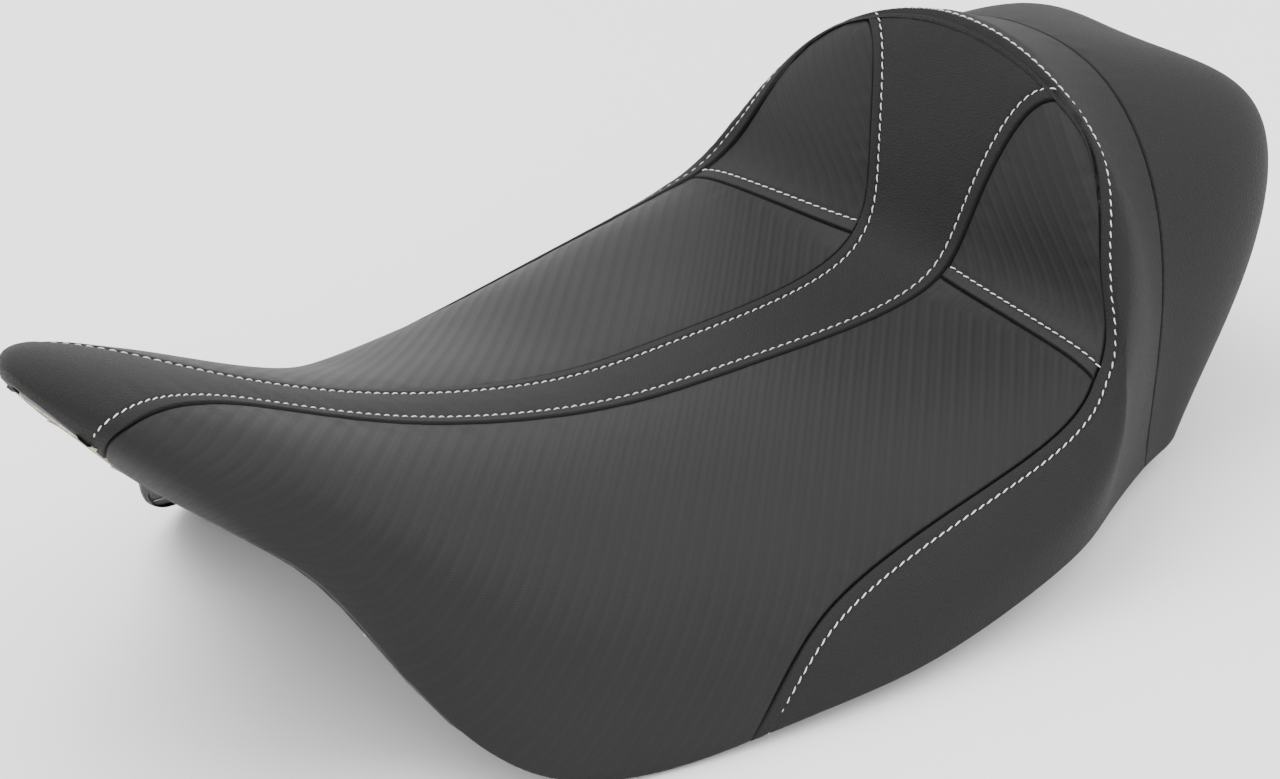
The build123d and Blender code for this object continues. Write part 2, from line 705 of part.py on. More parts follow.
rivets("tongue_rivets", tongue_plane, tongue_thickness, tongue_rivets_at)
rivets("tab_rivets", tab_plane, tab_thickness, tab_rivets_at)


# ---- turned-under hem of the cover ----
def hem_solid(ribs_of_hem, count, span):
    """Strip under the pan's rim; span gives its two sides for a half width of the pan."""
    grids = []
    for level in (hem_floor + hem_thickness, hem_floor):
        rows = []
        for u in np.linspace(*ribs_of_hem, count):
            across = np.linspace(*span(pan_half(u)), 5)
            rows.append([tuple(pan_point(u, x, level - pan_floor)) for x in across])
        grids.append(np.array(rows))
    return solid_between(*grids)


with BuildPart() as hem_right:
    add(hem_solid(hem_side_ribs, 44, lambda half: (half - hem_width, half)))
save(hem_right, "hem_right")
with BuildPart() as hem_left:
    add(hem_solid(hem_side_ribs, 44, lambda half: (-half, hem_width - half)))
save(hem_left, "hem_left")
with BuildPart() as hem_front:
    add(hem_solid(hem_front_ribs, 4, lambda half: (-half, half)))
save(hem_front, "hem_front")
with BuildPart() as hem_rear:
    add(hem_solid(hem_rear_ribs, 4, lambda half: (-half, half)))
save(hem_rear, "hem_rear")

# Staples hold the hem to the pan, with their crowns along the edge.
staple_planes = []
for side in (1, -1):
    for u in np.linspace(hem_side_ribs[0] + 0.2, hem_side_ribs[1] - 0.2, staple_count):
        x = side * (pan_half(u) - hem_width / 2)
        staple_planes.append(under_pan(u, x, pan_floor - hem_floor, staple_gap + staple_height / 2))
with BuildPart() as staples:
    with Locations(*staple_planes):
        Box(staple_width, staple_length, staple_height)
save(staples, "staples")
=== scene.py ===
# %% [markdown]
# # A solo motorcycle seat in black vinyl
# The CAD model is the fixed frame: it gives every size and every place. This notebook
# dresses it. Hard parts under the seat keep their CAD shape and get a finish. The cover,
# its stitches and the foam are made again here as smooth surfaces, because sewn vinyl has
# sunken seams, raised seam allowances and puffed fields that a CAD sheet doesn't show.

# %% Load the frame
import bpy
import bmesh
import numpy as np
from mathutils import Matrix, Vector


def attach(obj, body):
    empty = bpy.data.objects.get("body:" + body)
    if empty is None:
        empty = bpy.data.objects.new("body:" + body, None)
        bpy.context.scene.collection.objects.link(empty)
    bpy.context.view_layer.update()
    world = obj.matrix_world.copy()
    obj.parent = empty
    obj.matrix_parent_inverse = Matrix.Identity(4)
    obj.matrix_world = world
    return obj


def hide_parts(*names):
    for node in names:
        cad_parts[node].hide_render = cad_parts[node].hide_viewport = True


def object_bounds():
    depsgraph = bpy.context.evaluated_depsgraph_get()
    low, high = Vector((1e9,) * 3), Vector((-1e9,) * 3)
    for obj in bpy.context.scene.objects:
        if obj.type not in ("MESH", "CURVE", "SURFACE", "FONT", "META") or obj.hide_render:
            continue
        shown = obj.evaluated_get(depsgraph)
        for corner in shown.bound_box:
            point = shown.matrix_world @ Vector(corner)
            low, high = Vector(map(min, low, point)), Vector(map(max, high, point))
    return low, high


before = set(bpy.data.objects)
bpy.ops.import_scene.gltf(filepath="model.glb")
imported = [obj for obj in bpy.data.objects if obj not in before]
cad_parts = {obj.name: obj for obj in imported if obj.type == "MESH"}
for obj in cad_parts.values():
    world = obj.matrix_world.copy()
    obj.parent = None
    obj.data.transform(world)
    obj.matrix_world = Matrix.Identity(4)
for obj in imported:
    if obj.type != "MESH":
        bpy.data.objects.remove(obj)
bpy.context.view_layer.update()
print("CAD nodes:", len(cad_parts))

# %% [markdown]
# ## The skin of the seat
# A seat like this has no flat face anywhere, so it is drawn with ribs, as a boat hull is.
# Each rib is a shallow arch in a plane that holds the X direction, and a smooth spline
# runs through the thirteen ribs from nose to tail. One rule then gives every point of the
# skin from two numbers: how far along the seat (rib), and how far round (girth).
# Sculpting would also work, but a rule lets panels, seams and stitches share one surface.

# %% The thirteen ribs
# Top line y and z, lower edge y and z, half width, squareness, dish; in millimetres.
ribs = np.array([
    (-326, 170, -322, 166, 27, 1.00, 0.00), (-339, 182, -310, 144, 32, 0.90, 0.00),
    (-324, 189, -272, 112, 66, 0.90, 0.00), (-262, 161, -238, 70, 87, 0.90, 0.06),
    (-168, 116, -190, 7.6, 146, 0.90, 0.00), (-64, 86, -82, 4.0, 177, 0.85, 0.00),
    (20, 80, -2, 8.2, 183, 0.70, 0.08), (122, 85, 78, 18, 176, 0.40, 0.20),
    (153, 132, 126, 17, 157, 0.45, 0.12), (176, 199, 164, 14, 138, 0.55, 0.00),
    (217, 190, 198, 12, 124, 0.60, 0.00), (316, 144, 226, 11, 108, 0.50, 0.10),
    (262, 16, 256, 11, 60, 1.00, 0.00)], float)
LAST = len(ribs) - 1
MM = 0.001


def spline_through(values, at):
    """Natural cubic spline: a cubic in each cell whose second derivative is shared at the ends."""
    values = np.asarray(values, float)
    count = len(values)
    at = np.clip(np.atleast_1d(np.asarray(at, float)), 0, count - 1)
    system, bend = np.eye(count), np.zeros_like(values)
    inner = np.arange(1, count - 1)
    system[inner, inner - 1], system[inner, inner], system[inner, inner + 1] = 1, 4, 1
    bend[1:-1] = 6 * (values[2:] - 2 * values[1:-1] + values[:-2])
    second = np.linalg.solve(system, bend)
    cell = np.minimum(at.astype(int), count - 2)
    t = (at - cell)[:, None]
    s = 1 - t
    curve = ((s ** 3 - s) * second[cell] + (t ** 3 - t) * second[cell + 1]) / 6
    return s * values[cell] + t * values[cell + 1] + curve


# %% One rule for the whole skin
def skin(u, v, inset=0.0):
    """Point of the skin. On a rib, x = half width * sin(turn), and the height above the lower
    edge = height * (cos(turn) ** squareness + dish * sin(2 turn) ** 2). The girth v is the
    share of that arch's length, from 0 on top to 1 at the edge, negative on the left."""
    u, v = np.broadcast_arrays(np.asarray(u, float), np.asarray(v, float))
    shape, u, v = u.shape, u.ravel(), v.ravel()
    row = spline_through(ribs, u)
    along = spline_through(ribs[:, :2], u + 0.02) - spline_through(ribs[:, :2], u - 0.02)
    edge, rise = row[:, 2:4], row[:, :2] - row[:, 2:4]
    height = np.hypot(rise[:, 0], rise[:, 1])
    rise = rise / height[:, None]
    square = np.abs(along[:, 0] * rise[:, 1] - along[:, 1] * rise[:, 0])
    square = square / np.hypot(along[:, 0], along[:, 1])
    height = height - inset / np.maximum(square, 0.4)
    turn = np.pi / 2 * np.sin(np.linspace(0, np.pi / 2, 60)) ** 0.9
    across = (row[:, 4] - inset)[:, None] * np.sin(turn)
    level = np.clip(np.cos(turn), 0, 1) ** row[:, 5:6] + row[:, 6:7] * np.sin(2 * turn) ** 2
    level = level * height[:, None]
    steps = np.hypot(np.diff(across, axis=1), np.diff(level, axis=1))
    girth = np.concatenate([np.zeros((len(u), 1)), np.cumsum(steps, axis=1)], axis=1)
    girth = girth / girth[:, -1:]
    wanted = np.clip(np.abs(v), 0, 1)
    cell = np.clip((girth < wanted[:, None]).sum(axis=1) - 1, 0, len(turn) - 2)
    pick = np.arange(len(u))
    t = (wanted - girth[pick, cell]) / (girth[pick, cell + 1] - girth[pick, cell])
    x = across[pick, cell] * (1 - t) + across[pick, cell + 1] * t
    h = level[pick, cell] * (1 - t) + level[pick, cell + 1] * t
    points = np.stack([np.sign(v) * x, edge[:, 0] + h * rise[:, 0],
                       edge[:, 1] + h * rise[:, 1]], 1)
    return points.reshape(shape + (3,))


def unit(vectors):
    return vectors / np.maximum(np.linalg.norm(vectors, axis=-1, keepdims=True), 1e-9)


def slopes(u, v):
    """How the skin moves for one rib along and for one whole girth round."""
    high_u, low_u = np.clip(u + 0.01, 0, LAST), np.clip(u - 0.01, 0, LAST)
    high_v, low_v = np.clip(v + 0.004, -1, 1), np.clip(v - 0.004, -1, 1)
    per_rib = (skin(high_u, v) - skin(low_u, v)) / (high_u - low_u)[..., None]
    per_girth = (skin(u, high_v) - skin(u, low_v)) / (high_v - low_v)[..., None]
    return per_rib, per_girth


def outward(u, v):
    """Unit normal of the skin: the cross product of its two slopes."""
    per_rib, per_girth = slopes(u, v)
    return unit(np.cross(per_girth, per_rib))


print("top of the lumbar back, mm:", skin([9.2], [0.0])[0].round(1))

# %% [markdown]
# ## Seams
# A pattern cutter draws the seams first, and the panels are what lies between them. Each
# seam here is a short list of (rib, girth) pairs with a spline through it. A panel is then
# a Coons patch: a sheet stretched between its four seams, in rib and girth.

# %% The seam lines
cross_inner, cross_outer = (7.25, 0.13), (7.10, 0.61)
crown_corner, nose_corner = (9.00, 0.26), (0.75, 1.00)
band_foot, rear_foot = (4.80, 1.00), (9.50, 1.00)
nose_blend, crown_bow = 1.6, 0.06
centre_front = [nose_corner, (1.25, 0.63), (1.90, 0.41), (2.80, 0.22), (3.50, 0.115),
                (4.60, 0.095), (5.50, 0.10), (6.50, 0.11), cross_inner]
centre_back = [cross_inner, (7.60, 0.14), (8.05, 0.16), (8.60, 0.20), crown_corner]
cross = [cross_inner, (7.05, 0.42), cross_outer]
band_side = [band_foot, (5.30, 0.79), (6.50, 0.69), cross_outer]
band_back = [cross_outer, (7.95, 0.50), (8.80, 0.37), crown_corner]
band_crown = [crown_corner, (9.045, 0.13), (9.06, 0.0)]
rear_side = [rear_foot, (9.65, 0.84), (9.80, 0.68)]
rear_back = [(9.80, 0.68), (9.92, 0.50), (10.02, 0.30)]
rear_crown = [(10.02, 0.30), (10.07, 0.15), (10.08, 0.0)]


def seam_line(*pieces, shares=None):
    """A seam through splined pieces, read by its share of the length, 0 to 1."""
    parts = [spline_through(piece, np.linspace(0, len(piece) - 1, 60)) for piece in pieces]
    steps = [np.linalg.norm(np.diff(skin(p[:, 0], p[:, 1]), axis=0), axis=1) for p in parts]
    runs = [np.concatenate([[0], np.cumsum(step)]) for step in steps]
    if shares is None:
        reach = np.cumsum([run[-1] for run in runs])
        shares = [0] + list(reach / reach[-1])
    place = [start + run / run[-1] * (stop - start)
             for run, start, stop in zip(runs, shares[:-1], shares[1:])]
    line = np.concatenate([parts[0]] + [part[1:] for part in parts[1:]])
    place = np.concatenate([place[0]] + [run[1:] for run in place[1:]])
    return lambda share: np.stack([np.interp(share, place, line[:, 0]),
                                   np.interp(share, place, line[:, 1])], axis=-1)


def other_side(points):
    return [(u, -v) for u, v in points]


def on_side(points, side):
    return points if side > 0 else other_side(points)


def over_the_top(pieces):
    """The seam's right half, then the same pieces backwards down the left half."""
    return pieces + [other_side(list(reversed(piece))) for piece in reversed(pieces)]


front_pieces = over_the_top([band_side, band_back, band_crown])
rear_pieces = over_the_top([rear_side, rear_back, rear_crown])
seams = {"front": seam_line(*front_pieces), "rear": seam_line(*rear_pieces)}
for side, word in ((1, "right"), (-1, "left")):
    seams["centre_" + word] = seam_line(on_side(centre_front, side), on_side(centre_back, side))
    seams["cross_" + word] = seam_line(on_side(cross, side))
print("seams:", sorted(seams))

# %% The panels as patches of the skin
def patch(low, high, start, end):
    """Coons patch: both pairs of sides blended linearly, less the blend of the corners."""
    def at(s, t):
        s, t = s[..., None], t[..., None]
        sides = (1 - t) * low(s[..., 0]) + t * high(s[..., 0])
        ends = (1 - s) * start(t[..., 0]) + s * end(t[..., 0])
        zero, one = np.array(0.0), np.array(1.0)
        corners = ((1 - s) * (1 - t) * low(zero) + s * (1 - t) * low(one)
                   + (1 - s) * t * high(zero) + s * t * high(one))
        return sides + ends - corners
    return at


centre_line = seams["centre_right"]


def centre_patch(s, t):
    """Rows run straight across from seam to seam, and bend round the nose at the start."""
    edge, turn = centre_line(s), 2 * t - 1
    nose = np.clip(1 - (edge[..., 0] - nose_corner[0]) / nose_blend, 0, 1) ** 2
    u = edge[..., 0] - nose * nose_corner[0] * (1 - np.abs(turn) ** 5)
    return np.stack([u + crown_bow * s ** 8 * (1 - turn ** 2), edge[..., 1] * turn], axis=-1)


def seat_patch(side):
    return patch(seam_line(on_side(centre_front, side)), seam_line(on_side(band_side, side)),
                 seam_line(on_side([nose_corner, (2.0, 1.0), (3.4, 1.0), band_foot], side)),
                 seam_line(on_side(cross, side)))


def bolster_patch(side):
    tip = np.array(on_side([crown_corner], side)[0])
    return patch(seam_line(on_side(centre_back, side)), seam_line(on_side(band_back, side)),
                 seam_line(on_side(cross, side)), lambda t: np.broadcast_to(tip, t.shape + (2,)))


band_shares = [0, 0.22, 0.40, 0.50, 0.60, 0.78, 1]
band_edge = [band_foot, (6.4, 1.0), (8.0, 1.0), rear_foot]
band_patch = patch(seam_line(*front_pieces, shares=band_shares),
                   seam_line(*rear_pieces, shares=band_shares),
                   seam_line(band_edge), seam_line(other_side(band_edge)))
tail_edge = [rear_foot, (10.7, 1.0), (LAST, 1.0)]
tail_patch = patch(seam_line(*rear_pieces), seam_line([(LAST, 1.0), (LAST, -1.0)]),
                   seam_line(tail_edge), seam_line(other_side(tail_edge)))

# %% Seams and lower edge as runs of points, to measure distances from
shares = np.linspace(0, 1, 1200)
seam_points = {name: skin(*np.moveaxis(line(shares), -1, 0)) for name, line in seams.items()}
edge_u = np.linspace(nose_corner[0], LAST, 900)
nose_row = centre_patch(np.zeros(200), np.linspace(0, 1, 200))
tail_row = skin(np.full(200, LAST), np.linspace(-1, 1, 200))
lower_edge = [skin(edge_u, np.ones(900)), skin(edge_u, -np.ones(900)),
              skin(nose_row[:, 0], nose_row[:, 1]), tail_row]
for name, points in seam_points.items():
    print(name, "seam,", round(np.linalg.norm(np.diff(points, axis=0), axis=1).sum()), "mm")


def distance_to(points, line):
    """Distance from each point to a run of points, and the place along it: the nearest point
    is found first, and then the two straight steps beside it are measured."""
    flat = points.reshape(-1, 3)
    run = np.concatenate([[0], np.cumsum(np.linalg.norm(np.diff(line, axis=0), axis=1))])
    nearest = np.concatenate([
        np.argmin((line ** 2).sum(1) - 2 * chunk @ line.T, axis=1)
        for chunk in np.array_split(flat, max(1, len(flat) // 4000))])
    best, place = np.full(len(flat), 1e9), np.zeros(len(flat))
    for shift in (-1, 0):
        first = np.clip(nearest + shift, 0, len(line) - 2)
        start, step = line[first], line[first + 1] - line[first]
        size = np.maximum((step ** 2).sum(1), 1e-12)
        t = np.clip(((flat - start) * step).sum(1) / size, 0, 1)
        away = np.linalg.norm(flat - start - t[:, None] * step, axis=1)
        closer = away < best
        best = np.where(closer, away, best)
        place = np.where(closer, run[first] + t * np.sqrt(size), place)
    return best.reshape(points.shape[:-1]), place.reshape(points.shape[:-1])


# %% [markdown]
# ## How sewn vinyl sits over foam
# At a seam the cover is pulled down into the foam. Where a seam is topstitched, the folded
# seam allowance lies flat under the cover on one side, as a raised strip 6.5 mm wide, and
# the stitches press a shallow groove along it. Away from the seam the foam puffs the panel
# out again. All of this depends only on the distance to the seams, so one formula serves
# every panel, and neighbours meet exactly in the crease.

# %% The relief of a panel
OFFSET = 6.5          # topstitch to seam, mm
PITCH = 5.0           # one topstitch, mm
CREASE = 3.4          # depth of the crease at the seam itself, mm
CREASE_WIDTH = 0.55   # how wide that crease opens, mm
FOLD = 2.6            # radius of the turn at the lower edge, mm
STRIP = 0.55          # height of the raised strip and depth of its stitch groove, mm
BITE = 0.12           # how far each stitch pulls its groove down, mm
PUCKER = 0.30         # height of the small puckers, mm
PUCKERS_AT = 7.0      # from a stitch line or plain seam to the middle of its puckers, mm
QUIET = 24.0          # from the lower edge to where the relief is whole, mm


def waves(place, seed):
    """Four sine waves of unrelated lengths added up, as uneven as hand-pulled vinyl."""
    turns = place[..., None] / np.array([9.0, 14.3, 23.1, 41.7]) * 2 * np.pi
    return np.sin(turns + seed * np.array([1.0, 2.3, 3.1, 4.7])).sum(-1) / 4


def relief(points, strips, plains, sink, reach):
    """Height over the skin, mm. Sinking = sink * exp(-distance / reach), joined over the
    seams by a fourth-power mean; then the strip, its stitch groove, small puckers, and the
    crease itself as a narrow bell."""
    sinking, strip, pucker = np.zeros(points.shape[:-1]), 0.0, 0.0
    nearest = np.full(points.shape[:-1], 1e9)
    for number, name in enumerate(strips + plains):
        away, place = distance_to(points, seam_points[name])
        beyond = np.maximum(away - OFFSET, 0) if name in strips else away
        sinking = sinking + (sink * np.exp(-beyond / reach)) ** 4
        if name in strips:
            strip = strip + STRIP / (1 + np.exp((away - OFFSET + 0.9) / 0.28))
            strip = strip - STRIP * np.exp(-((away - OFFSET) / 0.75) ** 2)
            stitch = np.cos(2 * np.pi * place / PITCH)
            strip = strip - BITE * stitch * np.exp(-((away - OFFSET) / 0.9) ** 2)
        middle = OFFSET + PUCKERS_AT if name in strips else PUCKERS_AT
        uneven = PUCKER * waves(place, number + 1)
        pucker = pucker + uneven * np.exp(-((away - middle) / 6) ** 2)
        nearest = np.minimum(nearest, away)
    height = -sinking ** 0.25 + strip + pucker
    narrow = np.exp(-(nearest / CREASE_WIDTH) ** 2)
    return height * (1 - narrow) - CREASE * narrow


def fold_under(points):
    """How far the skin turns in near the lower edge: a quarter circle of radius FOLD."""
    away = np.min([distance_to(points, line)[0] for line in lower_edge], axis=0)
    inside = np.clip(FOLD - away, 0, FOLD)
    return FOLD - np.sqrt(FOLD ** 2 - inside ** 2), away


# %% [markdown]
# ## Meshing a panel
# A grid of rows and columns follows each patch. It is fine where the shape is busy, within
# a few millimetres of a seam, and open in the quiet middle. The panel is a closed shell of
# vinyl: the outer grid, the same grid moved in, and a wall round the rim.

# %% Grid and shell
NEAR = np.array([0, .3, .55, .8, 1.1, 1.6, 2.4, 3.6, 4.8, 5.4, 5.9, 6.3, 6.7, 7.1, 7.7, 8.8,
                 10.5, 13, 17, 22])


def spread(length, count):
    """Places along a length: the NEAR spacing from both ends, even steps between."""
    scale = min(1.0, length / (2.6 * NEAR[-1]))
    ends = NEAR * scale
    middle = np.linspace(ends[-1], length - ends[-1], count)[1:-1]
    return np.concatenate([ends, middle, (length - ends)[::-1]])


def patch_grid(at, rows, columns):
    """Rib and girth of a grid over a patch; each row is spaced by its own true length."""
    s_fine, t_fine = np.linspace(0, 1, 240), np.linspace(0, 1, 160)
    down = skin(*np.moveaxis(at(s_fine, np.full(240, 0.5)), -1, 0))
    run = np.concatenate([[0], np.cumsum(np.linalg.norm(np.diff(down, axis=0), axis=1))])
    s = np.interp(spread(run[-1], rows), run, s_fine)
    s_all, t_all = np.meshgrid(s, t_fine, indexing="ij")
    lattice = at(s_all, t_all)
    steps = np.linalg.norm(np.diff(skin(lattice[..., 0], lattice[..., 1]), axis=1), axis=2)
    runs = np.concatenate([np.zeros((len(s), 1)), np.cumsum(steps, axis=1)], axis=1)
    t = np.array([np.interp(spread(max(row[-1], 1e-6), columns), row, t_fine) for row in runs])
    return at(np.broadcast_to(s[:, None], t.shape), t)


def grid_faces(rows, columns, first=0):
    """Quads of a grid of vertices numbered row by row."""
    corner = np.arange(rows * columns).reshape(rows, columns) + first
    return np.stack([corner[:-1, :-1], corner[:-1, 1:], corner[1:, 1:], corner[1:, :-1]],
                    -1).reshape(-1, 4)


def rim_of(rows, columns):
    """Vertex numbers round the border of a grid, in order."""
    corner = np.arange(rows * columns).reshape(rows, columns)
    return np.concatenate([corner[0, :-1], corner[:-1, -1], corner[-1, :0:-1], corner[:0:-1, 0]])


def make_object(name, points, faces, uv=None):
    """A mesh object at the origin from points in millimetres and quads of vertex numbers."""
    mesh = bpy.data.meshes.new(name)
    mesh.from_pydata((points * MM).tolist(), [], faces.tolist())
    if uv is not None:
        layer = mesh.uv_layers.new(name="panel")
        loops = np.zeros(len(mesh.loops), np.int32)
        mesh.loops.foreach_get("vertex_index", loops)
        layer.data.foreach_set("uv", (uv[loops] * MM).astype(np.float32).ravel())
    mesh.polygons.foreach_set("use_smooth", np.full(len(mesh.polygons), True))
    mesh.validate()
    mesh.update()
    piece = bpy.data.objects.new(name, mesh)
    bpy.context.scene.collection.objects.link(piece)
    return piece


def cut_coordinates(uv):
    """Millimetres across and along the hide. Across is girth times the arch's length; along
    is y on the seat, and past the bowl it changes over to the height."""
    table = np.linspace(0, LAST, 400)
    arches = skin(table[:, None], np.linspace(0, 1, 60)[None, :])
    girth = np.linalg.norm(np.diff(arches, axis=1), axis=2).sum(1)
    points = skin(uv[..., 0], uv[..., 1])
    upright = np.clip((uv[..., 0] - 7.0) / 0.3, 0, 1)
    across = (1 - upright) * uv[..., 1] * np.interp(uv[..., 0], table, girth)
    across = across + upright * points[..., 0]
    along = points[..., 1] * (1 - upright) + upright * (points[..., 2] * 1.08 + 20)
    return np.stack([across, along], axis=-1)


def sewn_panel(name, at, strips, plains, sink, reach, rows, columns, wall=1.6):
    """The closed shell of one panel, with its relief, its turned edge and its own UV map."""
    uv = patch_grid(at, rows, columns)
    points, normal = skin(uv[..., 0], uv[..., 1]), outward(uv[..., 0], uv[..., 1])
    turned, to_edge = fold_under(points)
    ease = np.clip(to_edge / QUIET, 0, 1)
    ease = ease * ease * (3 - 2 * ease)
    height = relief(points, strips, plains, sink, reach)
    height = height * (0.25 + 0.75 * ease) - turned
    outer = points + height[..., None] * normal
    inner = outer - wall * normal
    shape = outer.shape[:2]
    count = shape[0] * shape[1]
    rim = rim_of(*shape)
    wall_faces = np.stack([rim, np.roll(rim, -1), np.roll(rim, -1) + count, rim + count], -1)
    front, back = grid_faces(*shape), grid_faces(*shape, first=count)[:, ::-1]
    middle = (shape[0] // 2, shape[1] // 2)
    row_way = outer[middle[0], middle[1] + 1] - outer[middle]
    column_way = outer[middle[0] + 1, middle[1]] - outer[middle]
    faces = np.concatenate([front, back, wall_faces[:, ::-1]])
    if np.cross(row_way, column_way) @ normal[middle] < 0:
        faces = faces[:, ::-1]
    all_points = np.concatenate([outer.reshape(-1, 3), inner.reshape(-1, 3)])
    cut = cut_coordinates(uv).reshape(-1, 2)
    piece = make_object(name, all_points, faces, np.concatenate([cut, cut]))
    print(name, len(piece.data.polygons), "faces, relief", height.min().round(1), "to",
          height.max().round(1), "mm")
    return piece


panels = {}
panels["centre_panel_cover"] = sewn_panel(
    "centre_panel_cover", centre_patch, ["centre_right", "centre_left"], ["front"],
    1.2, 14, 170, 26)
panels["perimeter_band_cover"] = sewn_panel(
    "perimeter_band_cover", band_patch, ["front"], ["rear"], 1.1, 12, 230, 34)
panels["rear_panel_cover"] = sewn_panel(
    "rear_panel_cover", tail_patch, [], ["rear"], 1.1, 12, 150, 60)
for side, word in ((1, "right"), (-1, "left")):
    panels["seat_panel_cover_" + word] = sewn_panel(
        "seat_panel_cover_" + word, seat_patch(side), [],
        ["centre_" + word, "cross_" + word, "front"], 1.5, 14, 130, 70)
    panels["bolster_panel_cover_" + word] = sewn_panel(
        "bolster_panel_cover_" + word, bolster_patch(side), ["cross_" + word],
        ["centre_" + word, "front"], 1.7, 17, 70, 44)

# %% [markdown]
# ## Topstitching
# White thread about 0.7 mm thick runs in stitches of 5 mm. Each stitch lies a little askew,
# because the thread is twisted, rises over the vinyl and dives into its needle hole. One
# stitch is a bent tube with pointed ends; several hundred of them are made as one array.

# %% Lines beside a seam
def beside(line, distance, side_hint):
    """Points at a distance from a seam, on the skin. The sideways direction is the normal
    crossed with the seam's direction; the slopes turn it into a change of rib and girth."""
    uv = line(np.linspace(0, 1, 1600))
    u, v = uv[:, 0], uv[:, 1]
    points, normal = skin(u, v), outward(u, v)
    forward = unit(np.gradient(points, axis=0))
    across = unit(np.cross(normal, forward)) * side_hint
    per_rib, per_girth = slopes(u, v)
    a, b, c = (per_rib ** 2).sum(1), (per_rib * per_girth).sum(1), (per_girth ** 2).sum(1)
    p, q = (per_rib * across).sum(1) * distance, (per_girth * across).sum(1) * distance
    rest = np.maximum(a * c - b * b, 1e-9)
    u = np.clip(u + (p * c - q * b) / rest, 0, LAST)
    v = np.clip(v + (q * a - p * b) / rest, -1, 1)
    return skin(u, v), outward(u, v)


def stitches(name, points, normal, height, pitch, radius=0.35, trim=3.0):
    """Bent tubes from needle hole to needle hole. Along a stitch, height = bow * sin(pi k)
    and the radius shrinks towards both ends; its ends lie a little to either side."""
    run = np.concatenate([[0], np.cumsum(np.linalg.norm(np.diff(points, axis=0), axis=1))])
    count = int((run[-1] - 2 * trim) / pitch)
    k = np.linspace(0, 1, 6)
    place = trim + (np.arange(count)[:, None] + 0.12 + 0.76 * k[None, :]) * pitch
    centre = np.stack([np.interp(place, run, points[:, i]) for i in range(3)], -1)
    up = unit(np.stack([np.interp(place, run, normal[:, i]) for i in range(3)], -1))
    way = unit(np.gradient(centre, axis=1))
    out = np.cross(up, way)
    bow = height + 0.38 * np.sin(np.pi * k) - 0.25
    slant = 0.24 * np.sin(np.pi * (k - 0.5))
    centre = centre + bow[:, None] * up + slant[:, None] * out
    turn = np.linspace(0, 2 * np.pi, 7)[:-1]
    size = radius * np.array([0.45, 0.9, 1, 1, 0.9, 0.45])
    ring = (np.cos(turn)[:, None] * out[..., None, :] + np.sin(turn)[:, None] * up[..., None, :])
    tube = centre[..., None, :] + size[:, None, None] * ring
    quads = []                      # six rings of six points each make one stitch
    for step in range(5):
        first = step * 6 + np.arange(6)
        after = step * 6 + (np.arange(6) + 1) % 6
        quads.append(np.stack([first, after, after + 6, first + 6], -1))
    ends = np.array([[3, 2, 1, 0], [5, 4, 3, 0], [30, 31, 32, 33], [30, 33, 34, 35]])
    one = np.concatenate(quads + [ends])
    faces = (one[None] + 36 * np.arange(count)[:, None, None]).reshape(-1, 4)
    along = np.broadcast_to((k * pitch)[None, :, None], (count, 6, 6))
    around = np.broadcast_to((turn * radius)[None, None, :], (count, 6, 6))
    uv = np.stack([along, around], -1).reshape(-1, 2)
    piece = make_object(name, tube.reshape(-1, 3), faces, uv)
    print(name, count, "stitches")
    return piece


threads = {}
for side, word in ((1, "right"), (-1, "left")):
    threads["topstitch_centre_" + word] = stitches(
        "stitches_centre_" + word, *beside(seams["centre_" + word], OFFSET, side),
        -1.2, PITCH)
    threads["topstitch_cross_" + word] = stitches(
        "stitches_cross_" + word, *beside(seams["cross_" + word], OFFSET, side),
        -1.7, PITCH, trim=1.0)
threads["topstitch_band"] = stitches(
    "stitches_band", *beside(seams["front"], OFFSET, -1), -1.1, PITCH)

# %% Black thread down in the rear seam
rear_points, rear_normal = beside(seams["rear"], 0.0, 1)
threads["rear_seam_thread"] = stitches("stitches_rear", rear_points, rear_normal, -2.6, 4.0,
                                       radius=0.3, trim=2.0)

# %% [markdown]
# ## Foam under the cover
# Little of the moulded foam shows, but it is what makes the seat a seat, and the model can be
# opened. Each block is a closed loft: the skin moved in on top, the pan's arch below.

# %% Foam blocks
FOAM_GIRTH = 0.93     # share of the skin's girth that the foam fills
PAN_GAP = 2.6         # from the skin to the pan's edge: the vinyl and its room, mm
# Rise of the pan's tunnel over its rim, at each rib, mm.
tunnel_rise = np.array([0, 3, 9, 22, 36, 40, 38, 40, 46, 46, 30, 6, 0], float)


